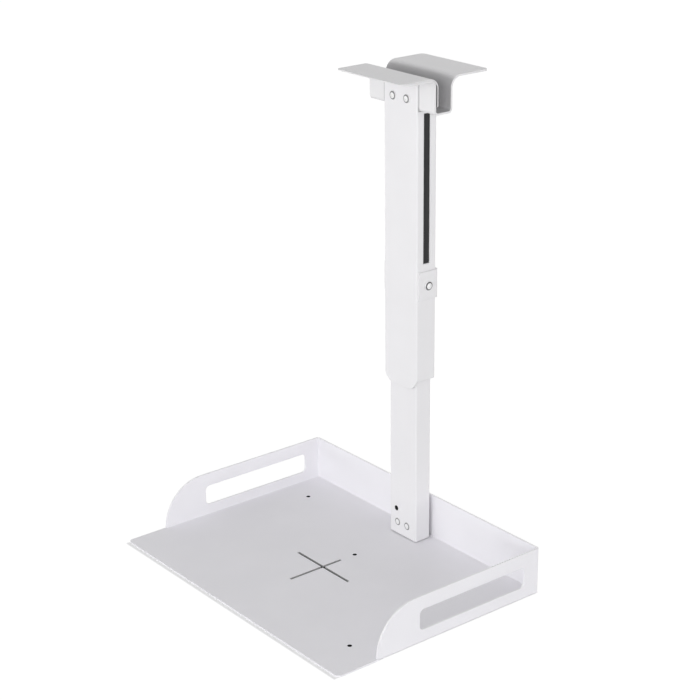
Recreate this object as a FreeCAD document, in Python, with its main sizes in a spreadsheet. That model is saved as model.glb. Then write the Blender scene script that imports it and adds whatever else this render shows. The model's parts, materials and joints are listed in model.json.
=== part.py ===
"""Projector ceiling mount: a bent tray on a telescopic column under a hat-section ceiling bracket.

Millimetres. The origin is on the floor in the middle of the overall box, X runs across the
tray, Y from its open front to its back wall, and Z up the column.
"""
import math
import os

import FreeCAD
import Part
import Sketcher

V = FreeCAD.Vector
doc = FreeCAD.newDocument("projector_ceiling_mount")
sheet = doc.addObject("Spreadsheet::Sheet", "size")

SIZES = [
    # tray, one bent sheet
    ("tray_w", "350"),
    ("tray_d", "250"),
    ("tray_t", "2"),
    ("overhang", "40"),
    ("wall_gap", "2"),
    ("wall_h", "49"),
    ("corner_r", "3.2"),
    ("tongue_r", "5"),
    ("bend_r", "2.8"),
    ("wall_setback", "46"),
    ("handle_len", "133"),
    ("handle_h", "21.5"),
    ("handle_r", "5"),
    ("handle_y", "38.5"),
    ("handle_z", "24"),
    ("hole_d", "4.5"),
    ("hole_x", "139"),
    ("hole_y", "82.5"),
    ("centre_hole_y", "35.5"),
    ("cross_y", "-5.5"),
    ("cross_arm", "41"),
    ("cross_back", "23"),
    ("cross_w", "3"),
    # fits shared by neighbouring pieces
    ("slide_gap", "0.5"),
    ("screw_gap", "0.3"),
    ("seat_gap", "0.3"),
    # outer channel, a lipped C open to the back
    ("channel_w", "49"),
    ("channel_d", "25"),
    ("channel_t", "1.5"),
    ("channel_r", "2"),
    ("lip_w", "6"),
    ("web_clear", "9"),
    ("web_len", "310.5"),
    ("web_r", "14"),
    ("tongue", "10"),
    ("slot_w", "8"),
    ("slot_in", "12.5"),
    ("slot_len", "149.2"),
    ("slot_bridge", "2.5"),
    # liner between channel and tube
    ("liner_side_t", "2"),
    ("liner_front_t", "1.5"),
    ("liner_setback", "4"),
    ("rib_recess", "0.6"),
    # lower tube and its foot
    ("tube_t", "1.5"),
    ("tube_r", "2"),
    ("tube_lift", "1"),
    ("travel_down", "161.5"),
    ("tube_clear", "6"),
    ("foot_t", "2"),
    ("foot_h", "38"),
    ("foot_reach", "14"),
    ("foot_gap", "1.5"),
    ("tube_screw_x", "7.4"),
    ("tube_screw_z", "16.5"),
    ("tube_screw_d", "4"),
    ("tube_screw_len", "7"),
    ("tube_head_d", "8"),
    ("tube_head_h", "1.3"),
    ("spare_hole_x", "-10"),
    ("spare_hole_z", "31"),
    ("spare_hole_d", "5.5"),
    # strap round the channel and its lock screws
    ("strap_t", "2"),
    ("strap_h", "29"),
    ("strap_clear", "7.5"),
    ("strap_r", "3.5"),
    ("lock_d", "5"),
    ("lock_head_d", "9"),
    ("lock_head_h", "3.5"),
    # ceiling bracket, a hat section along X
    ("hat_w", "95"),
    ("hat_t", "2"),
    ("hat_depth", "22"),
    ("trough_d", "35.5"),
    ("flange_top", "491.5"),
    ("front_reach", "35.5"),
    ("front_bend_r", "7.5"),
    ("rear_bend_r", "12"),
    ("u_bend_r", "4.5"),
    ("front_corner_r", "5"),
    ("rear_corner_r", "4"),
    # backing plate over the hat's front flange, and fasteners
    ("plate_t", "1.2"),
    ("plate_lap", "6"),
    ("plate_clear", "5.5"),
    ("plate_r", "2"),
    ("spacer_t", "1.4"),
    ("spacer_d", "10"),
    ("bracket_screw_x", "10"),
    ("screw_drop", "25"),
    ("bracket_screw_d", "5"),
    ("bracket_head_d", "8.5"),
    ("bracket_head_h", "2.2"),
    ("bracket_screw_end", "1"),
    ("nut_af", "8"),
    ("nut_h", "4"),
    ("socket_af", "3"),
    ("socket_depth", "0.9"),
    # sizes that follow from the ones above
    ("tray_y", "=-overhang / 2"),
    ("channel_y", "=tray_y + tray_d / 2 - tray_t - wall_gap - channel_d"),
    ("slot_y", "=channel_y + slot_in"),
    ("tube_y", "=channel_y + channel_t + liner_front_t + slide_gap"),
    ("tube_w", "=channel_w - 2 * (channel_t + liner_side_t + slide_gap)"),
    ("tube_d", "=channel_y + channel_d - channel_t - slide_gap - tube_y"),
    ("hat_y", "=channel_y + channel_t"),
    ("rear_reach", "=tray_y + tray_d / 2 + overhang - hat_y - hat_depth"),
    ("hat_bottom", "=flange_top - trough_d"),
    ("web_top", "=flange_top - web_clear"),
    ("web_bottom", "=web_top - web_len"),
    ("side_bottom", "=web_bottom + tongue"),
    ("side_top", "=hat_bottom - seat_gap"),
    ("slot_top", "=side_top - slot_bridge"),
    ("slot_bottom", "=slot_top - slot_len"),
    ("strap_top", "=slot_bottom - strap_clear"),
    ("strap_bottom", "=strap_top - strap_h"),
    ("lock_z", "=strap_bottom + strap_h / 2"),
    ("liner_bottom", "=side_bottom + liner_setback"),
    ("tube_top", "=hat_bottom - travel_down - tube_clear"),
    ("bracket_screw_z", "=flange_top - screw_drop"),
    ("front_top", "=flange_top - plate_t"),
    ("front_edge", "=hat_y - front_reach"),
    ("plate_bottom", "=hat_bottom + hat_t + plate_clear"),
    ("plate_y", "=hat_y + hat_t + spacer_t"),
    ("foot_y", "=tube_y + tube_t"),
    ("inner_x", "=channel_w / 2 - channel_t"),
]
for row, (alias, text) in enumerate(SIZES, 1):
    sheet.set("A%d" % row, alias)
    sheet.set("B%d" % row, text)
    sheet.setAlias("B%d" % row, alias)
doc.recompute()


def bound(text):
    """Write the sheet's aliases in a formula as references to the sheet."""
    out = []
    for token in text.replace("(", " ( ").replace(")", " ) ").split():
        out.append("size." + token if token in ALIASES else token)
    return " ".join(out)


ALIASES = {alias for alias, _ in SIZES}


def number(text):
    """The present value of a formula, used to place new geometry."""
    return float(sheet.evalExpression(bound(text)))


def new_body(name):
    body = doc.addObject("PartDesign::Body", name)
    body.Label = name
    return body


def new_sketch(body, name, role, z="0", x="0", y="0"):
    """A sketch on one of the body's own origin planes, moved by formulas in its own axes."""
    sketch = body.newObject("Sketcher::SketchObject", name)
    plane = [f for f in body.Origin.OriginFeatures if f.Role == role][0]
    sketch.AttachmentSupport = (plane, [""])
    sketch.MapMode = "FlatFace"
    for axis, text in (("x", x), ("y", y), ("z", z)):
        sketch.setExpression("AttachmentOffset.Base." + axis, bound(text))
    return sketch


def hold(sketch, kind, geometry, point, text):
    index = sketch.addConstraint(
        Sketcher.Constraint(kind, -1, 1, geometry, point, number(text)))
    sketch.setExpression("Constraints[%d]" % index, bound(text))


def outline(sketch, corners, arc=None):
    """A closed outline whose corners are each held by two formulas.

    arc gives the side that is a quarter circle instead of a line: the number of the corner it
    starts at, its radius, and 1 or -1 for a centre to the left or right of the way along it.
    """
    points = [V(number(u), number(v), 0) for u, v in corners]
    count = len(points)
    first = sketch.GeometryCount
    ends = []
    for i in range(count):
        start, stop = points[i], points[(i + 1) % count]
        if arc and arc[0] == i:
            chord = stop - start
            centre = (start + stop) * 0.5 + V(-chord.y, chord.x, 0) * 0.5 * arc[2]
            begin = math.atan2(start.y - centre.y, start.x - centre.x)
            finish = math.atan2(stop.y - centre.y, stop.x - centre.x)
            if arc[2] < 0:
                begin, finish = finish, begin
            ring = Part.Circle(centre, V(0, 0, 1), number(arc[1]))
            sketch.addGeometry(Part.ArcOfCircle(ring, begin, finish), False)
            ends.append((1, 2) if arc[2] > 0 else (2, 1))
            radius = sketch.addConstraint(
                Sketcher.Constraint("Radius", first + i, number(arc[1])))
            sketch.setExpression("Constraints[%d]" % radius, bound(arc[1]))
        else:
            sketch.addGeometry(Part.LineSegment(start, stop), False)
            ends.append((1, 2))
    for i in range(count):
        after = (i + 1) % count
        sketch.addConstraint(
            Sketcher.Constraint("Coincident", first + i, ends[i][1], first + after, ends[after][0]))
    for i, (u, v) in enumerate(corners):
        hold(sketch, "DistanceX", first + i, ends[i][0], u)
        hold(sketch, "DistanceY", first + i, ends[i][0], v)


def box(sketch, u0, v0, u1, v1):
    outline(sketch, [(u0, v0), (u1, v0), (u1, v1), (u0, v1)])


def circle(sketch, u, v, diameter):
    centre = V(number(u), number(v), 0)
    index = sketch.addGeometry(
        Part.Circle(centre, V(0, 0, 1), number(diameter) / 2), False)
    hold(sketch, "DistanceX", index, 3, u)
    hold(sketch, "DistanceY", index, 3, v)
    radius = sketch.addConstraint(
        Sketcher.Constraint("Radius", index, number(diameter) / 2))
    sketch.setExpression("Constraints[%d]" % radius, bound("( " + diameter + " ) / 2"))


def hexagon(sketch, flats):
    """A hexagon about the sketch's origin, with two flats upright."""
    half = "( " + flats + " ) / 2"
    tip = "( " + flats + " ) * 0.57735"
    low = "( " + flats + " ) * 0.288675"
    outline(sketch, [(half, "0 - " + low), (half, low), ("0", tip),
                     ("0 - " + half, low), ("0 - " + half, "0 - " + low), ("0", "0 - " + tip)])


def pad(body, sketch, length):
    """Material from the sketch along its normal."""
    feature = body.newObject("PartDesign::Pad", sketch.Name + "_pad")
    feature.Profile = sketch
    feature.setExpression("Length", bound(length))
    sketch.Visibility = False
    doc.recompute()
    return feature


def cut(body, sketch, length):
    """A pocket from the sketch along its normal."""
    feature = body.newObject("PartDesign::Pocket", sketch.Name + "_cut")
    feature.Profile = sketch
    feature.Reversed = True
    feature.setExpression("Length", bound(length))
    sketch.Visibility = False
    doc.recompute()
    return feature


def turn(body, sketch, axis):
    feature = body.newObject("PartDesign::Revolution", sketch.Name + "_turn")
    feature.Profile = sketch
    feature.ReferenceAxis = (sketch, [axis])
    feature.Angle = 360
    sketch.Visibility = False
    doc.recompute()
    return feature


def round_edges(body, name, radius, wanted):
    """Fillet every edge of the body's tip for which wanted(bounding box) holds."""
    base = body.Tip
    edges = ["Edge%d" % i for i, edge in enumerate(base.Shape.Edges, 1) if wanted(edge.BoundBox)]
    feature = body.newObject("PartDesign::Fillet", name)
    feature.Base = (base, edges)
    feature.setExpression("Radius", bound(radius))
    doc.recompute()
    return feature


def near(a, b):
    return abs(a - b) < 0.02


def upright(box_, x=None, y=None):
    """A straight edge along Z, at the given place where one is given."""
    if box_.XLength > 0.02 or box_.YLength > 0.02 or box_.ZLength < 0.5:
        return False
    return (x is None or near(abs(box_.XMin), x)) and (y is None or near(box_.YMin, y))


def along_x(box_, y, z):
    return (box_.XLength > 1 and box_.YLength < 0.02 and box_.ZLength < 0.02
            and near(box_.YMin, y) and near(box_.ZMin, z))


# Tray: floor, back wall and two side walls from one sheet
tray = new_body("tray")
half_w = "tray_w / 2"
tray_back = "tray_y + tray_d / 2"
tray_front = "tray_y - tray_d / 2"
wall_front = "tray_y - tray_d / 2 + wall_setback"
plan = new_sketch(tray, "tray_plan", "XY_Plane")
box(plan, "0 - " + half_w, wall_front, half_w, tray_back)
pad(tray, plan, "wall_h")
round_edges(tray, "tray_corners", "corner_r",
            lambda b: upright(b, y=number(tray_back)))
round_edges(tray, "tray_outer_bends", "bend_r",
            lambda b: near(b.ZMax, 0) and not (b.YLength < 0.02 and b.YMin < 0))
inside = new_sketch(tray, "tray_inside", "XY_Plane", z="tray_t")
box(inside, "tray_t - " + half_w, wall_front + " - 1", half_w + " - tray_t", tray_back + " - tray_t")
cut(tray, inside, "wall_h")
round_edges(tray, "tray_inner_corners", "corner_r - tray_t",
            lambda b: upright(b, x=number(half_w + " - tray_t"), y=number(tray_back + " - tray_t")))
round_edges(tray, "tray_inner_bends", "bend_r - tray_t",
            lambda b: near(b.ZMin, number("tray_t")) and near(b.ZMax, number("tray_t"))
            and not (b.YLength < 0.02 and b.YMin < 0)
            and abs(b.XMin) < number(half_w + " - tray_t") + 0.1
            and b.YMax < number(tray_back + " - tray_t") + 0.1)
round_edges(tray, "tray_wall_fronts", "wall_h - tray_t - 0.5",
            lambda b: near(b.ZMin, number("wall_h")) and near(b.ZMax, number("wall_h"))
            and near(b.YMin, number(wall_front)) and b.YLength < 0.02)
tongue = new_sketch(tray, "tray_front", "XY_Plane")
box(tongue, "0 - " + half_w, tray_front, half_w, wall_front + " + bend_r")
pad(tray, tongue, "tray_t")
round_edges(tray, "tray_front_corners", "tongue_r",
            lambda b: upright(b, x=number(half_w), y=number(tray_front)))
handles = new_sketch(tray, "tray_handles", "YZ_Plane", z="0 - tray_w / 2 - 1")
box(handles, "tray_y + handle_y - handle_len / 2", "handle_z - handle_h / 2",
    "tray_y + handle_y + handle_len / 2", "handle_z + handle_h / 2")
cut(tray, handles, "tray_w + 2")
round_edges(tray, "tray_handle_ends", "handle_r",
            lambda b: b.XLength > 1 and b.XLength < 3 and b.YLength < 0.02 and b.ZLength < 0.02
            and near(abs(b.YMin - number("tray_y + handle_y")), number("handle_len / 2")))
holes = new_sketch(tray, "tray_holes", "XY_Plane", z="0 - 1")
circle(holes, "0 - hole_x", "tray_y + hole_y", "hole_d")
circle(holes, "hole_x", "tray_y - hole_y", "hole_d")
circle(holes, "0", "tray_y + centre_hole_y", "hole_d")
cut(tray, holes, "tray_t + 2")
cross = new_sketch(tray, "tray_cross", "XY_Plane", z="0 - 1", y="tray_y")
half_slit = "cross_w / 2"
outline(cross, [
    ("0 - " + half_slit, "cross_y - cross_arm"),
    (half_slit, "cross_y - cross_arm"),
    (half_slit, "cross_y - " + half_slit),
    ("cross_arm", "cross_y - " + half_slit),
    ("cross_arm", "cross_y + " + half_slit),
    (half_slit, "cross_y + " + half_slit),
    (half_slit, "cross_y + cross_back"),
    ("0 - " + half_slit, "cross_y + cross_back"),
    ("0 - " + half_slit, "cross_y + " + half_slit),
    ("0 - cross_arm", "cross_y + " + half_slit),
    ("0 - cross_arm", "cross_y - " + half_slit),
    ("0 - " + half_slit, "cross_y - " + half_slit),
])
cut(tray, cross, "tray_t + 2")

# Lower tube, held by its foot just off the tray
tube = new_body("lower_tube")
tube_x = "tube_w / 2"
tube_back = "tube_y + tube_d"
section = new_sketch(tube, "tube_section", "XY_Plane", z="tray_t + tube_lift")
box(section, "0 - " + tube_x, "tube_y", tube_x, tube_back)
pad(tube, section, "tube_top - tray_t - tube_lift")
round_edges(tube, "tube_edges", "tube_r", upright)
bore = new_sketch(tube, "tube_bore", "XY_Plane", z="tray_t")
box(bore, "tube_t - " + tube_x, "tube_y + tube_t", tube_x + " - tube_t", tube_back + " - tube_t")
cut(tube, bore, "tube_top + 2")
round_edges(tube, "tube_bore_edges", "tube_r - tube_t",
            lambda b: upright(b, x=number(tube_x + " - tube_t")))


def foot_holes(body, name):
    """The two screw holes and the spare hole, through the tube's front wall and the foot."""
    drilled = new_sketch(body, name, "XZ_Plane", z="0 - foot_y - foot_t - 1")
    for sign in ("0 - ", ""):
        circle(drilled, sign + "tube_screw_x", "tube_screw_z", "tube_screw_d + 2 * screw_gap")
    circle(drilled, "spare_hole_x", "spare_hole_z", "spare_hole_d")
    cut(body, drilled, "foot_t + tube_t + 2")


foot_holes(tube, "tube_holes")

# Foot inside the tube: upstand behind the tube's front wall and a flange on the tray
foot = new_body("foot_bracket")
profile = new_sketch(foot, "foot_profile", "YZ_Plane", z="tube_t + foot_gap - tube_w / 2")
outline(profile, [
    ("foot_y", "tray_t"),
    ("foot_y + foot_reach", "tray_t"),
    ("foot_y + foot_reach", "tray_t + foot_t"),
    ("foot_y + foot_t", "tray_t + foot_t"),
    ("foot_y + foot_t", "tray_t + foot_h"),
    ("foot_y", "tray_t + foot_h"),
])
pad(foot, profile, "tube_w - 2 * ( tube_t + foot_gap )")
round_edges(foot, "foot_outer_bend", "2 * foot_t",
            lambda b: along_x(b, number("foot_y"), number("tray_t")))
round_edges(foot, "foot_inner_bend", "foot_t",
            lambda b: along_x(b, number("foot_y + foot_t"), number("tray_t + foot_t")))
foot_holes(foot, "foot_holes")

# Upper channel: lipped C, its web longer than its sides at both ends
channel = new_body("upper_channel")
channel_x = "channel_w / 2"
channel_back = "channel_y + channel_d"
section = new_sketch(channel, "channel_section", "XY_Plane", z="web_bottom")
box(section, "0 - " + channel_x, "channel_y", channel_x, channel_back)
pad(channel, section, "web_top - web_bottom")
round_edges(channel, "channel_edges", "channel_r", upright)
bore = new_sketch(channel, "channel_inside", "XY_Plane", z="web_bottom - 1")
box(bore, "channel_t - " + channel_x, "channel_y + channel_t",
    channel_x + " - channel_t", channel_back + " - channel_t")
cut(channel, bore, "web_top - web_bottom + 2")
round_edges(channel, "channel_inner_edges", "channel_r - channel_t",
            lambda b: upright(b, x=number(channel_x + " - channel_t")))
mouth = new_sketch(channel, "channel_mouth", "XY_Plane", z="web_bottom - 1")
box(mouth, "lip_w - " + channel_x, channel_back + " - channel_t - 1",
    channel_x + " - lip_w", channel_back + " + 1")
cut(channel, mouth, "web_top - web_bottom + 2")
ends = new_sketch(channel, "channel_ends", "YZ_Plane", z="0 - channel_w / 2 - 1")
box(ends, "channel_y + channel_t", "web_bottom - 1", channel_back + " + 1", "side_bottom")
box(ends, "channel_y + channel_t", "side_top", channel_back + " + 1", "web_top + 1")
cut(channel, ends, "channel_w + 2")
tip = new_sketch(channel, "web_tip", "XZ_Plane", z="0 - channel_y - channel_t - 1")
for sign in (-1, 1):
    beyond = "%d * ( channel_w / 2 + 1 )" % sign
    edge = "%d * ( channel_w / 2 )" % sign
    inner = "%d * ( channel_w / 2 - web_r )" % sign
    outline(tip, [(inner, "web_bottom - 1"), (inner, "web_bottom"), (edge, "web_bottom + web_r"),
                  (beyond, "web_bottom + web_r"), (beyond, "web_bottom - 1")], arc=(1, "web_r", sign))
cut(channel, tip, "channel_t + 2")
slots = new_sketch(channel, "channel_slots", "YZ_Plane", z="0 - channel_w / 2 - 1")
box(slots, "slot_y - slot_w / 2", "slot_bottom", "slot_y + slot_w / 2", "slot_top")
cut(channel, slots, "channel_w + 2")


def lock_holes(body, name):
    """The lock screws' way through both sides."""
    drilled = new_sketch(body, name, "YZ_Plane", z="0 - channel_w / 2 - strap_t - 1")
    circle(drilled, "slot_y", "lock_z", "lock_d + 2 * screw_gap")
    cut(body, drilled, "channel_w + 2 * strap_t + 2")


def bracket_holes(body, name):
    """The two bracket screws' way through the web, the hat's front wall and the backing plate."""
    drilled = new_sketch(body, name, "XZ_Plane", z="0 - plate_y - plate_t - 1")
    for sign in ("0 - ", ""):
        circle(drilled, sign + "bracket_screw_x", "bracket_screw_z",
               "bracket_screw_d + 2 * screw_gap")
    cut(body, drilled, "plate_y + plate_t + 2 - channel_y")


lock_holes(channel, "channel_lock_holes")
bracket_holes(channel, "channel_bracket_holes")

# Liner: plastic U in the channel, with a rib in each of the channel's slots
liner = new_body("slide_liner")
section = new_sketch(liner, "liner_section", "XY_Plane", z="liner_bottom")
liner_in = "inner_x - liner_side_t"
liner_back = "channel_y + channel_d - channel_t - seat_gap"
outline(section, [
    ("0 - inner_x", "channel_y + channel_t"),
    ("inner_x", "channel_y + channel_t"),
    ("inner_x", liner_back),
    (liner_in, liner_back),
    (liner_in, "channel_y + channel_t + liner_front_t"),
    ("liner_side_t - inner_x", "channel_y + channel_t + liner_front_t"),
    ("liner_side_t - inner_x", liner_back),
    ("0 - inner_x", liner_back),
])
pad(liner, section, "side_top - seat_gap - liner_bottom")
round_edges(liner, "liner_edges", "channel_r - channel_t + seat_gap",
            lambda b: upright(b, x=number("inner_x")))
ribs = new_sketch(liner, "liner_ribs", "YZ_Plane", z="rib_recess - channel_w / 2")
box(ribs, "slot_y - slot_w / 2 + seat_gap", "slot_bottom + seat_gap",
    "slot_y + slot_w / 2 - seat_gap", "slot_top - seat_gap")
pad(liner, ribs, "channel_t + liner_side_t - rib_recess")
ribs = new_sketch(liner, "liner_ribs_right", "YZ_Plane", z="inner_x - liner_side_t")
box(ribs, "slot_y - slot_w / 2 + seat_gap", "slot_bottom + seat_gap",
    "slot_y + slot_w / 2 - seat_gap", "slot_top - seat_gap")
pad(liner, ribs, "channel_t + liner_side_t - rib_recess")
lock_holes(liner, "liner_lock_holes")

# Strap: U round the sides and back of the channel
strap = new_body("lock_strap")
section = new_sketch(strap, "strap_section", "XY_Plane", z="strap_bottom")
strap_x = "channel_w / 2 + strap_t"
strap_front = "channel_y + channel_r"
outline(section, [
    ("0 - ( " + strap_x + " )", strap_front),
    ("0 - " + channel_x, strap_front),
    ("0 - " + channel_x, channel_back),
    (channel_x, channel_back),
    (channel_x, strap_front),
    (strap_x, strap_front),
    (strap_x, channel_back + " + strap_t"),
    ("0 - ( " + strap_x + " )", channel_back + " + strap_t"),
])
pad(strap, section, "strap_top - strap_bottom")
round_edges(strap, "strap_outer_bends", "strap_r",
            lambda b: upright(b, x=number(strap_x), y=number(channel_back + " + strap_t")))
round_edges(strap, "strap_inner_bends", "strap_r - strap_t",
            lambda b: upright(b, x=number(channel_x), y=number(channel_back)))
lock_holes(strap, "strap_lock_holes")

# Ceiling bracket: front flange, front wall, floor, rear wall and rear flange of one sheet
hat = new_body("ceiling_bracket")
hat_back = "hat_y + hat_depth"
profile = new_sketch(hat, "hat_profile", "YZ_Plane", z="0 - hat_w / 2")
outline(profile, [
    ("front_edge", "front_top - hat_t"),
    ("hat_y", "front_top - hat_t"),
    ("hat_y", "hat_bottom"),
    (hat_back, "hat_bottom"),
    (hat_back, "flange_top - hat_t"),
    (hat_back + " + rear_reach", "flange_top - hat_t"),
    (hat_back + " + rear_reach", "flange_top"),
    (hat_back + " - hat_t", "flange_top"),
    (hat_back + " - hat_t", "hat_bottom + hat_t"),
    ("hat_y + hat_t", "hat_bottom + hat_t"),
    ("hat_y + hat_t", "front_top"),
    ("front_edge", "front_top"),
])
pad(hat, profile, "hat_w")
BENDS = [
    ("hat_front_bend", "front_bend_r", "hat_y + hat_t", "front_top"),
    ("hat_front_bend_inner", "front_bend_r - hat_t", "hat_y", "front_top - hat_t"),
    ("hat_rear_bend", "rear_bend_r", hat_back + " - hat_t", "flange_top"),
    ("hat_rear_bend_inner", "rear_bend_r - hat_t", hat_back, "flange_top - hat_t"),
    ("hat_low_front_bend", "u_bend_r", "hat_y", "hat_bottom"),
    ("hat_low_front_inner", "u_bend_r - hat_t", "hat_y + hat_t", "hat_bottom + hat_t"),
    ("hat_low_rear_bend", "u_bend_r", hat_back, "hat_bottom"),
    ("hat_low_rear_inner", "u_bend_r - hat_t", hat_back + " - hat_t", "hat_bottom + hat_t"),
]
for name, radius, at_y, at_z in BENDS:
    round_edges(hat, name, radius,
                lambda b, y=number(at_y), z=number(at_z): along_x(b, y, z))
round_edges(hat, "hat_front_corners", "front_corner_r",
            lambda b: upright(b, x=number("hat_w / 2"), y=number("front_edge")))
round_edges(hat, "hat_rear_corners", "rear_corner_r",
            lambda b: upright(b, x=number("hat_w / 2"), y=number(hat_back + " + rear_reach")))
bracket_holes(hat, "hat_holes")

# Backing plate: a flange over the hat's front flange and an upstand behind its front wall
plate = new_body("backing_plate")
plate_edge = "front_edge - plate_lap"
profile = new_sketch(plate, "plate_profile", "YZ_Plane", z="0 - hat_w / 2")
outline(profile, [
    (plate_edge, "front_top"),
    ("plate_y", "front_top"),
    ("plate_y", "plate_bottom"),
    ("plate_y + plate_t", "plate_bottom"),
    ("plate_y + plate_t", "flange_top"),
    (plate_edge, "flange_top"),
])
pad(plate, profile, "hat_w")
round_edges(plate, "plate_bend", "front_bend_r + spacer_t + plate_t",
            lambda b: along_x(b, number("plate_y + plate_t"), number("flange_top")))
round_edges(plate, "plate_bend_inner", "front_bend_r + spacer_t",
            lambda b: along_x(b, number("plate_y"), number("front_top")))
round_edges(plate, "plate_front_corners", "front_corner_r",
            lambda b: upright(b, x=number("hat_w / 2"), y=number(plate_edge)))
round_edges(plate, "plate_low_corners", "plate_r",
            lambda b: b.YLength > 1 and b.YLength < 2 and b.XLength < 0.02 and b.ZLength < 0.02
            and near(b.ZMin, number("plate_bottom")))
bracket_holes(plate, "plate_holes")


def head_rows(radius, height, start):
    """A low domed head from its seat outwards, as pairs of radius and distance formulas."""
    return [("( %s ) / 2" % radius, start),
            ("( %s ) / 2" % radius, "%s - ( %s ) * 0.45" % (start, height)),
            ("( %s ) * 0.42" % radius, "%s - ( %s ) * 0.85" % (start, height)),
            ("( %s ) * 0.3" % radius, "%s - ( %s )" % (start, height)),
            ("0", "%s - ( %s )" % (start, height))]


def screw_to_back(name, x, z, seat, shank, length, head_d, head_h):
    """A screw along Y with its domed head towards the front."""
    body = new_body(name)
    half = new_sketch(body, name + "_half", "XY_Plane", x=x, z=z)
    rows = head_rows(head_d, head_h, seat)
    outline(half, [("0", seat + " + " + length), ("( %s ) / 2" % shank, seat + " + " + length),
                   ("( %s ) / 2" % shank, seat)] + rows)
    turn(body, half, "V_Axis")
    socket = new_sketch(body, name + "_socket", "XZ_Plane", x=x, y=z,
                        z="0 - ( %s ) + %s - socket_depth" % (seat, head_h))
    hexagon(socket, "socket_af")
    cut(body, socket, "socket_depth + 1")


def screw_to_side(name, sign):
    """A lock screw along X with its head outside the strap."""
    body = new_body(name)
    half = new_sketch(body, name + "_half", "XY_Plane", y="slot_y", z="lock_z")
    seat = "channel_w / 2 + strap_t"
    rows = [("%d * ( %s + ( %s ) )" % (sign, seat, out), radius) for radius, out in (
        ("lock_head_d / 2", "0"), ("lock_head_d / 2", "lock_head_h * 0.6"),
        ("lock_head_d * 0.4", "lock_head_h * 0.92"), ("lock_head_d * 0.3", "lock_head_h"),
        ("0", "lock_head_h"))]
    tip_x = "%d * ( tube_w / 2 + slide_gap + 0.1 )" % sign
    outline(half, [(tip_x, "0"), (tip_x, "lock_d / 2"),
                   ("%d * ( %s )" % (sign, seat), "lock_d / 2")] + rows)
    turn(body, half, "H_Axis")
    depth = "lock_head_h * 0.5"
    start = seat + " + lock_head_h - " + depth if sign > 0 else "0 - ( " + seat + " ) - lock_head_h - 1"
    socket = new_sketch(body, name + "_socket", "YZ_Plane", x="slot_y", y="lock_z", z=start)
    hexagon(socket, "socket_af + 1")
    cut(body, socket, depth + " + 1")


SIDES = (("left", "0 - "), ("right", ""))
for side, sign in SIDES:
    screw_to_back("lower_screw_" + side, sign + "tube_screw_x", "tube_screw_z", "tube_y",
                  "tube_screw_d", "tube_screw_len", "tube_head_d", "tube_head_h")
    screw_to_back("bracket_screw_" + side, sign + "bracket_screw_x", "bracket_screw_z", "channel_y",
                  "bracket_screw_d",
                  "( plate_y + plate_t + nut_h + bracket_screw_end - channel_y )",
                  "bracket_head_d", "bracket_head_h")
    spacer = new_body("spacer_washer_" + side)
    ring = new_sketch(spacer, "spacer_ring_" + side, "XZ_Plane", z="0 - plate_y")
    circle(ring, sign + "bracket_screw_x", "bracket_screw_z", "spacer_d")
    circle(ring, sign + "bracket_screw_x", "bracket_screw_z", "bracket_screw_d + 2 * screw_gap")
    pad(spacer, ring, "spacer_t")
    nut = new_body("bracket_nut_" + side)
    hex_ = new_sketch(nut, "nut_hex_" + side, "XZ_Plane", x=sign + "bracket_screw_x",
                      y="bracket_screw_z", z="0 - plate_y - plate_t - nut_h")
    hexagon(hex_, "nut_af")
    circle(hex_, "0", "0", "bracket_screw_d + 2 * screw_gap")
    pad(nut, hex_, "nut_h")
screw_to_side("lock_screw_left", -1)
screw_to_side("lock_screw_right", 1)

doc.recompute()
bad = [o.Name for o in doc.Objects if "Invalid" in o.State or "Error" in o.State]
bodies = [o for o in doc.Objects if o.TypeId == "PartDesign::Body"]
for body in bodies:
    shape = body.Shape
    if shape.isNull() or not shape.isValid() or len(shape.Solids) != 1:
        bad.append(body.Label)
if bad:
    raise RuntimeError("unsound: " + ", ".join(bad))
os.makedirs("parts", exist_ok=True)
for body in bodies:
    body.Shape.exportStep("parts/" + body.Label + ".step")
print("wrote", len(bodies), "parts")
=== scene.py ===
"""Looks of the projector ceiling mount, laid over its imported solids.

Metres, in the frame of the solids: X across the tray, Y from its open front to its back wall,
Z up the column. The sheet pieces keep their solids and get a powder coat, the liner a matt
plastic. The screws and nuts are finer surfaces in place of their plain solids.
"""
import json
import math

import bmesh
import bpy
import numpy as np
from mathutils import Matrix, Vector


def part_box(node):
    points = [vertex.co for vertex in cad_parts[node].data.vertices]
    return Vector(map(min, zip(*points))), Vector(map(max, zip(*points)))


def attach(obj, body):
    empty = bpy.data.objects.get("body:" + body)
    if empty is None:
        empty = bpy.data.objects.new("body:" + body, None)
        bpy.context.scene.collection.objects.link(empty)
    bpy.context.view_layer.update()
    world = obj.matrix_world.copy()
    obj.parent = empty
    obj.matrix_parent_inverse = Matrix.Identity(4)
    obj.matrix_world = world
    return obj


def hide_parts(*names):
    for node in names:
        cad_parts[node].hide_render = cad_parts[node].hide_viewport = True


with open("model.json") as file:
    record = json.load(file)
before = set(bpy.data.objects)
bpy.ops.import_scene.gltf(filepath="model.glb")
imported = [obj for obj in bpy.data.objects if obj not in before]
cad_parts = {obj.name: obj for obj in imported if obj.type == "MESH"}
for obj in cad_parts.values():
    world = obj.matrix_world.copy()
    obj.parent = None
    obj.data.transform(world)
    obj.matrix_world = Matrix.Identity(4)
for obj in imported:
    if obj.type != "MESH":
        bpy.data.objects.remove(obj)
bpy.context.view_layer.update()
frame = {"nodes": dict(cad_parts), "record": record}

MM = 0.001
TURN = 2 * math.pi
FRONT = Vector((0, -1, 0))
LEFT = Vector((-1, 0, 0))
RIGHT = Vector((1, 0, 0))

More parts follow.
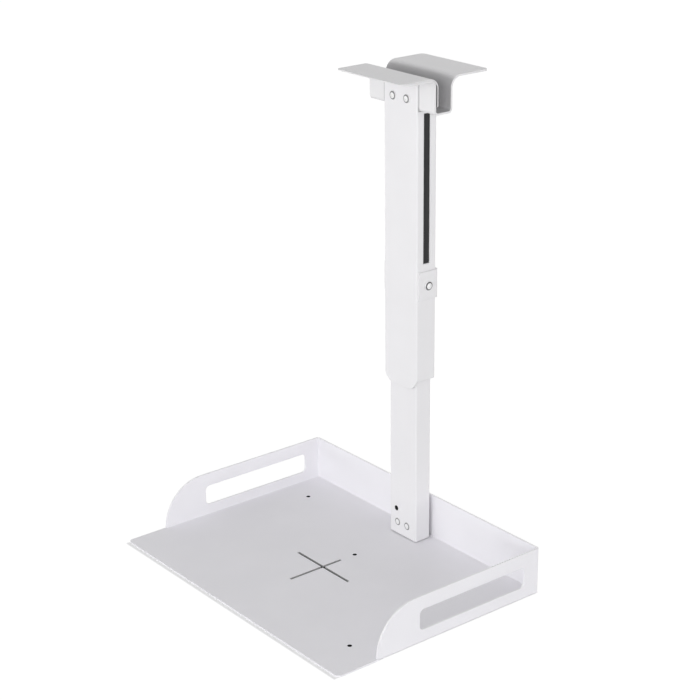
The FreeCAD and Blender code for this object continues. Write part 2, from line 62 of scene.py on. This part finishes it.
# Camera: the photograph's viewpoint, lens and tilt, for a square picture
CAMERA_PLACE = Vector((1.28989, -1.01413, 0.85488))
CAMERA_YAW = math.radians(51.496)
CAMERA_PITCH = math.radians(20.892)
CAMERA_ROLL = math.radians(-0.588)
CAMERA_LENS = 93.24
CAMERA_SENSOR = 36.0

# Studio: a large low lamp beside the camera, a sky with a bright rim and a white floor
LAMP_PLACE = Vector((1.2, -2.0, 0.53))
LAMP_AIM = Vector((0.0, 0.0, 0.2))
LAMP_SIZE = 2.0
LAMP_POWER = 18.5
SKY_RIM = (1.85, 1.85, 1.85, 1.0)
SKY_TOP = (0.5, 0.5, 0.5, 1.0)
SKY_SEEN = (1.0, 1.0, 1.0, 1.0)
SKY_RISE = (0.15, 0.4)
FLOOR_HALF = 30.0
FLOOR_TONE = (0.88, 0.88, 0.88, 1.0)
FLOOR_HIDDEN = (0.02, 0.02, 0.02, 1.0)
FLOOR_GLOW = 1.15
FLOOR_GLOW_SHARE = 0.8
FLOOR_CLEAR = (-6 * MM, -5 * MM)
FLOOR_CONTACT = 0.75
CONTACT_WIDTH = 1.5 * MM
CONTACT_SIDE = Vector((1.5 * MM, 0.0, 0.0))
CONTACT_FRONT = Vector((0.0, 2.8 * MM, 0.0))

# Coats: lit and shaded copies of one white coat, as painted light and shade: the tray's is painted
# lighter, the column's and the bracket's darker
TRAY_LIT_TONE = (0.887, 0.878, 0.912)
COLUMN_SHADED_TONE = (0.83, 0.824, 0.84)
BRACKET_SHADED_TONE = (0.8, 0.795, 0.805)
# Painted shade: grey, dark and near-black tones in place of the coat where slits, holes, gaps, the
# bracket's trough and walled-in insides lie in shade
GREY_PAINTED_SHADE = (0.58, 0.575, 0.585, 1.0)
DARK_PAINTED_SHADE = (0.37, 0.366, 0.375, 1.0)
BLACK_PAINTED_SHADE = (0.03, 0.03, 0.031, 1.0)
# Painted highlight: a paler tone on the tray's rims that face up, under a real glossy coat with its
# own roughness
RIM_HIGHLIGHT_COAT = (0.96, 0.955, 0.97, 1.0)
RIM_GLOSS_ROUGHNESS = 0.2
CLOUD_SHARES = (0.985, 1.015)
SOFT_EDGE = 0.8 * MM
SOFT_EDGE_SAMPLES = 6
OPENNESS_REACH = 40 * MM
OPENNESS_SAMPLES = 8

# Limits of the coats: a pair is the start and the end of a smooth step. A lean is one part of the
# surface's normal.
CUT_LEAN = (0.3, 0.6)
COLUMN_OPENNESS = (0.12, 0.45)
BORE_SPARE_MM = (0.2, 0.4)
SLIT_INSET = (-5 * MM, -4 * MM)
SLIT_HEIGHT = (1.85 * MM, 1.95 * MM)
TRAY_RIM_HEIGHT = (4 * MM, 5 * MM)
TRAY_RIM_LEAN = (0.2, 0.5)
WALL_DEPTH = (2.5 * MM, 1.5 * MM)
TROUGH_LEAN = (0.0, 0.3)
TROUGH_POWER = 30
DEEP_OPENNESS = (0.15, 0.45)
GAP_OPENNESS = (0.02, 0.12)
CORNER_WIDTH = (1 * MM, 2 * MM)
CORNER_LEAN = (0.7, 0.9)
CORNER_SHADOW_SHARE = 0.6

# Plastic and zinc
PLASTIC = (0.006, 0.006, 0.007, 1.0)
RUBBED_PLASTIC = (0.02, 0.02, 0.022, 1.0)
DRAG_STRETCH = (1.0, 1.0, 0.02)
COOL_ZINC = (0.89, 0.89, 0.9, 1.0)
WARM_ZINC = (0.91, 0.905, 0.9, 1.0)
# Zinc darkened as painted shade, in a ring near a screw head's rim
RIM_SHADE_ZINC = (0.12, 0.12, 0.125, 1.0)

# Screws and nuts: rows and columns of their grids, and shares of the head, socket or flats
ROUND_COLUMNS = 72
SHARP_ANGLE = math.radians(35)
MERGE_REACH = 0.001 * MM
SOCKET_FLOOR = 0.9
SOCKET_WALL = 0.97
SOCKET_RISE = 0.9
DOME_ROWS = 9
DOME_DROP = 0.4
RIM_ROWS = 6
RIM_ROUND = 0.2
RIM_FOOT = 0.05
# Rows of a screw head's painted shade ring, on the dome and on the rim
SHADE_DOME_ROWS = 4
SHADE_RIM_ROWS = 2
THREAD_STEP = 0.8 * MM
THREAD_DEPTH = 0.4 * MM
THREAD_ROWS_PER_STEP = 8
TIP_CHAMFER = 0.4 * MM
NUT_CIRCLE = 0.48
NUT_CONE = 0.55
NUT_LEAD = 0.35 * MM


class Value:
    """A shader socket that takes part in Python sums: each sum adds one Math node."""

    def __init__(self, graph, socket):
        self.graph = graph
        self.socket = socket

    def sum(self, operation, first, second):
        """The Math node of one operation on two values."""
        return self.graph.add("ShaderNodeMath", {"operation": operation}, {0: first, 1: second})

    def __add__(self, other):
        return self.sum("ADD", self, other)

    def __radd__(self, other):
        return self.sum("ADD", other, self)

    def __sub__(self, other):
        return self.sum("SUBTRACT", self, other)

    def __rsub__(self, other):
        return self.sum("SUBTRACT", other, self)

    def __mul__(self, other):
        return self.sum("MULTIPLY", self, other)

    def __rmul__(self, other):
        return self.sum("MULTIPLY", other, self)

    def __pow__(self, other):
        return self.sum("POWER", self, other)

    def larger(self, other):
        """The larger of two values."""
        return self.sum("MAXIMUM", self, other)

    def magnitude(self):
        """The value without its sign."""
        return self.larger(0 - self)


class Graph:
    """A node tree that is filled one node at a time."""

    def __init__(self, tree):
        self.tree = tree
        tree.nodes.clear()

    def add(self, kind, settings=None, sockets=None, output=0):
        """One node: its settings go in first, then the values or links of its sockets."""
        node = self.tree.nodes.new(kind)
        for name, value in (settings or {}).items():
            setattr(node, name, value)
        for name, value in (sockets or {}).items():
            if isinstance(value, Value):
                self.tree.links.new(value.socket, node.inputs[name])
            else:
                node.inputs[name].default_value = value
        return Value(self, node.outputs[output]) if node.outputs else None

    def noise(self, place, scale, detail=2.0, roughness=0.5):
        """Soft noise about 0.5, with so many cells to the metre."""
        return self.add("ShaderNodeTexNoise", None,
                        {"Vector": place, "Scale": scale, "Detail": detail, "Roughness": roughness})

    def step(self, value, low, high):
        """0 below low, 1 above high and a smooth step between."""
        return self.add("ShaderNodeMapRange", {"interpolation_type": "SMOOTHSTEP"},
                        {"Value": value, "From Min": low, "From Max": high})

    def blend(self, share, first, second):
        """The first colour at share 0, the second at share 1."""
        return self.add("ShaderNodeMix", {"data_type": "RGBA"},
                        {0: share, 6: first, 7: second}, output=2)

    def relief(self, strength, distance, height, normal=None):
        """A bump of that height, on top of another normal where one is given."""
        sockets = {"Strength": strength, "Distance": distance, "Height": height}
        if normal:
            sockets["Normal"] = normal
        return self.add("ShaderNodeBump", None, sockets)

    def place(self):
        """The point on the surface, in metres."""
        return self.add("ShaderNodeTexCoord", output="Object")

    def facing(self):
        """The way that the surface faces."""
        return self.add("ShaderNodeTexCoord", output="Normal")

    def part(self, vector, axis):
        """One coordinate of a vector."""
        return self.add("ShaderNodeSeparateXYZ", None, {"Vector": vector}, output=axis)

    def beyond(self, low, high):
        """How far the point lies outside a box seen from above, less than 0 inside it."""
        middle, half = (low + high) / 2, (high - low) / 2
        place = self.place()
        beyond_side = (self.part(place, "X") - middle.x).magnitude() - half.x
        beyond_end = (self.part(place, "Y") - middle.y).magnitude() - half.y
        return beyond_side.larger(beyond_end)

    def openness(self, alone=False):
        """1 where nothing is near the surface, 0 where it is walled in, by itself if alone."""
        return self.add("ShaderNodeAmbientOcclusion",
                        {"samples": OPENNESS_SAMPLES, "only_local": alone},
                        {"Distance": OPENNESS_REACH}, output="AO")

    def seen_rays(self):
        """1 for rays from the camera, directly, in a mirror or through glass, and 0 for light."""
        camera, mirror, glass = (
            self.add("ShaderNodeLightPath", output=kind)
            for kind in ("Is Camera Ray", "Is Glossy Ray", "Is Transmission Ray"))
        return camera + mirror + glass

    def surface(self, sockets):
        """One shader over the whole surface, with those sockets."""
        shader = self.add("ShaderNodeBsdfPrincipled", None, sockets)
        self.add("ShaderNodeOutputMaterial", None, {"Surface": shader})


def new_finish(name):
    """A material and its empty graph."""
    material = bpy.data.materials.new(name)
    material.use_nodes = True
    return material, Graph(material.node_tree)


def behind_front_wall(graph):
    """1 behind the bracket's front wall, 0 in front of it."""
    plate_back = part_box("backing_plate")[1].y
    near, far = (plate_back - depth for depth in WALL_DEPTH)
    return graph.step(graph.part(graph.place(), "Y"), near, far)


def at_bore(graph, name):
    """1 in one of the record's bores and on its wall, 0 a little outside it, by the square of
    the distance from its axis."""
    bore = next(mount for mount in frame["record"]["mounts"] if mount["name"] == name)
    place = graph.place()
    off, aside = (graph.part(place, axis) - middle
                  for axis, middle, along in zip("XYZ", bore["pos_m"], bore["axis"]) if not along)
    near, far = (((bore["dims"]["r_mm"] + spare) * MM) ** 2 for spare in BORE_SPARE_MM)
    return 1 - graph.step(off * off + aside * aside, near, far)


def shade_inside(graph, coat):
    """The column: near-black painted shade where a piece's own walls close it in, and on the cut
    edge of the spare hole."""
    cut = 1 - graph.step(graph.part(graph.facing(), "Y").magnitude(), *CUT_LEAN)
    outside = graph.step(graph.openness(alone=True), *COLUMN_OPENNESS)
    share = outside * (1 - at_bore(graph, "spare_hole") * cut)
    return {"Base Color": graph.blend(share, BLACK_PAINTED_SHADE, coat)}


def shade_against_wall(graph, coat):
    """The backing plate: near-black painted shade on its face against the bracket's front wall."""
    forward = graph.step(0 - graph.part(graph.facing(), "Y"), *CUT_LEAN)
    return {"Base Color": graph.blend(behind_front_wall(graph) * forward, coat, BLACK_PAINTED_SHADE)}


def shaded_cuts_lit_rims(graph, coat):
    """The tray: grey painted shade on the upright cut edges of the slits in its floor, near-black
    painted shade on those of its holes, and a painted highlight, a paler tone under a glossier
    coat, on the rims that face up above the floor."""
    height = graph.part(graph.place(), "Z")
    upward = graph.part(graph.facing(), "Z")
    inside = 1 - graph.step(graph.beyond(*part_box("tray")), *SLIT_INSET)
    below = 1 - graph.step(height, *SLIT_HEIGHT)
    upright = 1 - graph.step(upward.magnitude(), *CUT_LEAN)
    # Painted highlight on the rims that face up, with a real gloss coat over it
    rim_gloss_and_highlight = graph.step(height, *TRAY_RIM_HEIGHT) * graph.step(upward, *TRAY_RIM_LEAN)
    left, middle, right = (at_bore(graph, "tray_hole_" + at) for at in ("left", "middle", "right"))
    # Painted shade on the cut edges of the slits and holes
    cut = graph.blend(left + middle + right, GREY_PAINTED_SHADE, BLACK_PAINTED_SHADE)
    shaded = graph.blend(inside * below * upright, coat, cut)
    return {"Base Color": graph.blend(rim_gloss_and_highlight, shaded, RIM_HIGHLIGHT_COAT),
            "Coat Weight": rim_gloss_and_highlight, "Coat Roughness": RIM_GLOSS_ROUGHNESS}


def shade_in_trough(graph, coat):
    """The bracket: painted shade on faces to the front or up behind its front wall, darker with a
    high power of the openness, a little lighter deep down, and near black where next to nothing is
    open.
    On its front wall a painted shadow darkens the corners beside the channel."""
    facing = graph.facing()
    openness = graph.openness()
    behind = behind_front_wall(graph)
    forward = 0 - graph.part(facing, "Y")
    inside = behind * graph.step(graph.part(facing, "Z") + forward, *TROUGH_LEAN)
    # Painted shadow on the front wall beside the channel's edges
    beside = graph.part(graph.place(), "X").magnitude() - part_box("upper_channel")[1].x
    beside_front = (1 - behind) * graph.step(forward, *CORNER_LEAN)
    corner = (1 - graph.step(beside, *CORNER_WIDTH)) * beside_front
    # Painted shade in the trough, and near black in the gaps
    trough_shade = graph.blend(graph.step(openness, *DEEP_OPENNESS), GREY_PAINTED_SHADE, DARK_PAINTED_SHADE)
    share = inside * (1 - openness ** TROUGH_POWER) + corner * CORNER_SHADOW_SHARE
    shaded = graph.blend(share, coat, trough_shade)
    return {"Base Color": graph.blend(graph.step(openness, *GAP_OPENNESS), BLACK_PAINTED_SHADE, shaded)}


def powder_coat(name, tone, painted_light):
    """White powder coat: orange peel in the bump, faint clouding, softened sheet edges.

    Painted shade darkens recesses and a painted highlight lightens rims: the last argument paints
    them into the coat's colour.
    """
    material, graph = new_finish(name)
    place = graph.place()
    peel = graph.noise(place, scale=700.0, roughness=0.45)
    grain = graph.noise(place, scale=3500.0, detail=1.0)
    cloud = graph.noise(place, scale=11.0, detail=3.0)
    dim, bright = ([channel * share for channel in tone] + [1.0] for share in CLOUD_SHARES)
    coat = graph.blend(graph.step(cloud, low=0.3, high=0.7), dim, bright)
    softened = graph.add("ShaderNodeBevel", {"samples": SOFT_EDGE_SAMPLES}, {"Radius": SOFT_EDGE})
    graph.surface({
        **painted_light(graph, coat),
        "Roughness": 0.42 + cloud * 0.1 + grain * 0.06,
        "Normal": graph.relief(strength=0.35, distance=0.05 * MM, height=peel + grain * 0.25,
                               normal=softened),
    })
    return material


def black_plastic():
    """Matt black plastic: fine spark texture, with faint drag marks up and down the slide."""
    material, graph = new_finish("matt_black_plastic")
    place = graph.place()
    spark = graph.noise(place, scale=2600.0, roughness=0.6)
    along = graph.add("ShaderNodeMapping", None, {"Vector": place, "Scale": DRAG_STRETCH})
    drag = graph.step(graph.noise(along, scale=900.0), low=0.52, high=0.72)
    graph.surface({
        "Base Color": graph.blend(drag * 0.5, PLASTIC, RUBBED_PLASTIC),
        "Roughness": 0.55 + spark * 0.14 - drag * 0.12,
        "Normal": graph.relief(strength=0.4, distance=0.04 * MM, height=spark),
    })
    return material


def zinc_plate(name, metal):
    """Zinc plate: grey with faint cool and warm clouds, and near a head's rim a rougher ring with
    painted shade.

    A turned piece's own attribute says how rough and how darkly shaded each of its rows is. The
    less metal, the chalkier.
    """
    material, graph = new_finish(name)
    place = graph.place()
    cloud = graph.noise(place, scale=420.0, detail=3.0)
    tooling = graph.noise(place, scale=5200.0, roughness=0.6)
    dull = graph.add("ShaderNodeAttribute", {"attribute_name": "dull"}, output="Fac")
    plate = graph.blend(graph.step(cloud, low=0.35, high=0.65), COOL_ZINC, WARM_ZINC)
    graph.surface({
        "Base Color": graph.blend(dull, plate, RIM_SHADE_ZINC),
        "Metallic": metal,
        "Roughness": 0.26 + cloud * 0.12 + tooling * 0.08 + dull * 0.2,
        "Normal": graph.relief(strength=0.2, distance=0.02 * MM, height=tooling),
    })
    return material


FINISHES = {
    "white_coat": powder_coat("column_coat", COLUMN_SHADED_TONE, shade_inside),
    "black_plastic": black_plastic(),
    "screw_steel": zinc_plate("zinc_plate", metal=1.0),
}
CHALKY_ZINC = zinc_plate("chalky_zinc", metal=0.1)
OWN_FINISHES = {
    "tray": powder_coat("tray_coat", TRAY_LIT_TONE, shaded_cuts_lit_rims),
    "ceiling_bracket": powder_coat("bracket_coat", BRACKET_SHADED_TONE, shade_in_trough),
    "backing_plate": powder_coat("plate_coat", BRACKET_SHADED_TONE, shade_against_wall),
    "lower_screw_left": CHALKY_ZINC,
    "lower_screw_right": CHALKY_ZINC,
}
for subpart in frame["record"]["subparts"]:
    node = subpart["node"]
    solid = frame["nodes"][node]
    solid.data.materials.clear()
    solid.data.materials.append(OWN_FINISHES.get(node, FINISHES[subpart["material_slot"]]))


def grid_piece(node, body, points, dull, looped=False):
    """A closed steel surface from rows by columns of points, in place of a solid.

    Each quad joins a row to the next and a column to the next, and the columns close round the
    turn. If looped, the last row joins the first; otherwise both are poles, which are merged.
    """
    rows, columns = points.shape[:2]
    index = np.arange(rows * columns).reshape(rows, columns)
    if looped:
        index = np.concatenate([index, index[:1]])
    aside = np.roll(index, -1, axis=1)
    quads = np.stack([index[:-1], aside[:-1], aside[1:], index[1:]], axis=-1).reshape(-1, 4)
    name = node + "_turned"
    mesh = bpy.data.meshes.new(name)
    mesh.from_pydata(points.reshape(-1, 3).tolist(), [], quads.tolist())
    shares = mesh.attributes.new("dull", "FLOAT", "POINT")
    shares.data.foreach_set("value", np.repeat(dull, columns).astype(np.float32))
    shape = bmesh.new()
    shape.from_mesh(mesh)
    bmesh.ops.remove_doubles(shape, verts=shape.verts, dist=MERGE_REACH)
    bmesh.ops.recalc_face_normals(shape, faces=shape.faces)
    shape.to_mesh(mesh)
    shape.free()
    mesh.shade_smooth()
    mesh.set_sharp_from_angle(angle=SHARP_ANGLE)
    mesh.materials.append(OWN_FINISHES.get(node, FINISHES["screw_steel"]))
    piece = bpy.data.objects.new(name, mesh)
    bpy.context.scene.collection.objects.link(piece)
    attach(piece, body)
    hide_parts(node)


def hexagon_reach(angle, flats):
    """From the middle of a hexagon to its outline: half the width over flats, divided by the
    cosine of the angle to the middle of the nearest flat."""
    sixth = TURN / 6
    return flats / 2 / np.cos((angle + sixth / 2) % sixth - sixth / 2)


def stood_along(points, seat, way):
    """Points built about Z, turned so that Z runs along way, and moved to the seat."""
    turn = np.array(Vector((0, 0, 1)).rotation_difference(way).to_matrix())
    return points @ turn.T + np.array(seat)


def carried_round(radius, height, angle):
    """Rows of radius and height, carried round the axis."""
    return np.stack([radius * np.cos(angle), radius * np.sin(angle), height], axis=-1)


def screw(node, body, seat, way, head_d, head_h, shank_d, shank_len, flats, depth, ring_dull_and_shade):
    """A domed screw with a hexagon socket, its head along way from the seat.

    The dome's height falls with the square of the radius. Its rows start on the socket's hexagon
    and widen into circles, and a quarter circle rounds the rim. Where they meet, the rows are
    rougher and painted with shade.
    The shank's radius drops by a triangle wave of depth less turn, which makes the thread.
    """
    angle = np.linspace(0, TURN, ROUND_COLUMNS, endpoint=False)
    level = np.zeros_like(angle)
    reach = hexagon_reach(angle, flats)
    rim, edge = head_d / 2, RIM_ROUND * head_h

    def crown(radius):
        """The dome's height at a radius."""
        return head_h * (1 - DOME_DROP * (radius / rim) ** 2)

    floor = crown(reach.max()) - depth
    socket_r = np.array([[0.0], [SOCKET_FLOOR], [SOCKET_WALL], [SOCKET_WALL]]) * reach
    socket_z = np.array([[floor], [floor], [floor], [floor + depth * SOCKET_RISE]]) + level
    dome_r = reach + (rim - edge - reach) * np.linspace(0, 1, DOME_ROWS)[:, None]
    lean = np.linspace(0, TURN / 4, RIM_ROWS)[1:, None]
    rim_r = rim - edge + edge * np.sin(lean) + level
    rim_z = crown(rim - edge) - edge + edge * np.cos(lean) + level
    seat_r = np.array([[rim], [rim], [shank_d / 2]]) + level
    seat_z = np.array([[RIM_FOOT * head_h], [0.0], [0.0]]) + level
    thread_rows = int((shank_len - TIP_CHAMFER) / THREAD_STEP * THREAD_ROWS_PER_STEP)
    down = np.arange(1, thread_rows)[:, None] * THREAD_STEP / THREAD_ROWS_PER_STEP
    wave = np.abs((down / THREAD_STEP - angle / TURN) % 1.0 * 2 - 1)
    thread_r = shank_d / 2 - THREAD_DEPTH * wave * np.clip(down / THREAD_STEP, 0, 1)
    tip_r = np.array([[shank_d / 2 - THREAD_DEPTH], [0.0]]) + level
    tip_z = np.array([[-shank_len], [-shank_len]]) + level
    radius = np.concatenate([socket_r, dome_r, rim_r, seat_r, thread_r, tip_r])
    height = np.concatenate([socket_z, crown(dome_r), rim_z, seat_z, level - down, tip_z])
    dome_end = len(socket_r) + len(dome_r)
    dull = np.zeros(len(radius))
    # Painted shade ring, rougher and darker zinc, where the dome meets the rim
    dull[dome_end - SHADE_DOME_ROWS:dome_end + SHADE_RIM_ROWS] = ring_dull_and_shade
    grid_piece(node, body, stood_along(carried_round(radius, height, angle), seat, way), dull)


def screw_over_solid(node, body, held, way, shank_d, flats, depth, ring_dull_and_shade):
    """A screw with the place and outer sizes of its solid, its head on the face of what it holds.

    All screws lie level, so the solid's height is the head's diameter.
    """
    axis = max(range(3), key=lambda i: abs(way[i]))
    low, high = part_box(node)
    held_low, held_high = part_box(held)
    outer, inner, face = (
        (high[axis], low[axis], held_high[axis]) if way[axis] > 0
        else (low[axis], high[axis], held_low[axis]))
    seat = (low + high) / 2
    seat[axis] = face
    screw(node, body, seat, way, head_d=high.z - low.z, head_h=abs(outer - face), shank_d=shank_d,
          shank_len=abs(face - inner), flats=flats, depth=depth, ring_dull_and_shade=ring_dull_and_shade)


def nut_over_solid(node, body, bore_d):
    """A hexagon nut about Y with both faces turned to a cone at the corners.

    Round the section: up the bore, out to the chamfer's circle, down the cone to the hexagon,
    down the flats, and back in along the other face. The cone's drop is a share of the radius
    past the circle.
    """
    low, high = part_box(node)
    flats, thick = high.x - low.x, high.y - low.y
    angle = np.linspace(0, TURN, ROUND_COLUMNS, endpoint=False)
    level = np.zeros_like(angle)
    corner = hexagon_reach(angle, flats)
    circle = NUT_CIRCLE * flats
    drop = NUT_CONE * np.clip(corner - circle, 0, None)
    bore = level + bore_d / 2
    lead = bore + NUT_LEAD
    face = np.minimum(corner, circle)
    radius = np.stack([bore, bore, lead, face, corner, corner, face, lead])
    height = np.stack([level + NUT_LEAD, level + thick - NUT_LEAD, level + thick, level + thick,
                       thick - drop, drop, level, level])
    seat = (low + high) / 2
    seat.y = low.y
    points = stood_along(carried_round(radius, height, angle), seat, -FRONT)
    grid_piece(node, body, points, np.zeros(len(radius)), looped=True)


for side, out in (("left", LEFT), ("right", RIGHT)):
    screw_over_solid("lower_screw_" + side, "tray_and_tube", "lower_tube", FRONT,
                     shank_d=4.0 * MM, flats=3.0 * MM, depth=0.8 * MM, ring_dull_and_shade=0.85)
    screw_over_solid("bracket_screw_" + side, "channel_and_bracket", "upper_channel", FRONT,
                     shank_d=5.0 * MM, flats=3.0 * MM, depth=0.9 * MM, ring_dull_and_shade=0.8)
    screw_over_solid("lock_screw_" + side, "channel_and_bracket", "lock_strap", out,
                     shank_d=5.0 * MM, flats=4.0 * MM, depth=1.6 * MM, ring_dull_and_shade=1.0)
    nut_over_solid("bracket_nut_" + side, "channel_and_bracket", bore_d=5.2 * MM)


def white_floor():
    """A pale floor that is white to the camera and keeps a share of the object's soft shadow.

    A narrow contact shade is added along the tray's front and back, wider at the front, and stays
    under its side walls. Under the tray the floor is dark, so that no light comes up through holes.
    """
    low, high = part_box("tray")
    corners = np.array([(-1, -1, 0), (1, -1, 0), (1, 1, 0), (-1, 1, 0)]) * FLOOR_HALF
    mesh = bpy.data.meshes.new("studio_floor")
    mesh.from_pydata(corners.tolist(), [], [(0, 1, 2, 3)])
    material, graph = new_finish("white_floor")
    clear = graph.step(graph.beyond(low, high), *FLOOR_CLEAR)
    matt = graph.add("ShaderNodeBsdfPrincipled", None, {
        "Base Color": graph.blend(clear, FLOOR_HIDDEN, FLOOR_TONE), "Roughness": 1.0})
    glow = graph.add("ShaderNodeEmission", None, {"Strength": FLOOR_GLOW})
    beyond_shade = graph.beyond(low + CONTACT_SIDE - CONTACT_FRONT, high - CONTACT_SIDE)
    contact = FLOOR_CONTACT * (1 - graph.step(beyond_shade, 0.0, CONTACT_WIDTH))
    share = graph.seen_rays() * clear * (1 - contact) * FLOOR_GLOW_SHARE
    mixed = graph.add("ShaderNodeMixShader", None, {0: share, 1: matt, 2: glow})
    graph.add("ShaderNodeOutputMaterial", None, {"Surface": mixed})
    mesh.materials.append(material)
    floor = bpy.data.objects.new("studio_floor", mesh)
    bpy.context.scene.collection.objects.link(floor)


def soft_light():
    """A sky with a bright rim, white where it is seen, and one large lamp."""
    world = bpy.data.worlds.new("studio_sky")
    world.use_nodes = True
    graph = Graph(world.node_tree)
    way = graph.add("ShaderNodeTexCoord", output="Generated")
    lighting = graph.blend(graph.step(graph.part(way, "Z"), *SKY_RISE), SKY_RIM, SKY_TOP)
    sky = graph.add("ShaderNodeBackground", None,
                    {"Color": graph.blend(graph.seen_rays(), lighting, SKY_SEEN)})
    graph.add("ShaderNodeOutputWorld", None, {"Surface": sky})
    bpy.context.scene.world = world
    data = bpy.data.lights.new("soft_lamp", "AREA")
    data.shape = "DISK"
    data.size = LAMP_SIZE
    data.energy = LAMP_POWER
    lamp = bpy.data.objects.new("soft_lamp", data)
    lamp.location = LAMP_PLACE
    lamp.rotation_euler = (LAMP_AIM - LAMP_PLACE).to_track_quat("-Z", "Y").to_euler()
    bpy.context.scene.collection.objects.link(lamp)


def photo_camera():
    """The camera looks along its yaw and pitch, and its roll turns it about that line."""
    ahead = Vector((-math.sin(CAMERA_YAW) * math.cos(CAMERA_PITCH),
                    math.cos(CAMERA_YAW) * math.cos(CAMERA_PITCH), -math.sin(CAMERA_PITCH)))
    level = Vector((math.cos(CAMERA_YAW), math.sin(CAMERA_YAW), 0.0))
    upward = level.cross(ahead)
    right = level * math.cos(CAMERA_ROLL) + upward * math.sin(CAMERA_ROLL)
    up = right.cross(ahead)
    data = bpy.data.cameras.new("photo_camera")
    data.lens = CAMERA_LENS
    data.sensor_width = CAMERA_SENSOR
    camera = bpy.data.objects.new("photo_camera", data)
    turn = Matrix((right, up, -ahead)).transposed()
    camera.matrix_world = Matrix.Translation(CAMERA_PLACE) @ turn.to_4x4()
    bpy.context.scene.collection.objects.link(camera)
    bpy.context.scene.camera = camera


white_floor()
soft_light()
photo_camera()
bpy.context.scene.view_settings.view_transform = "Standard"
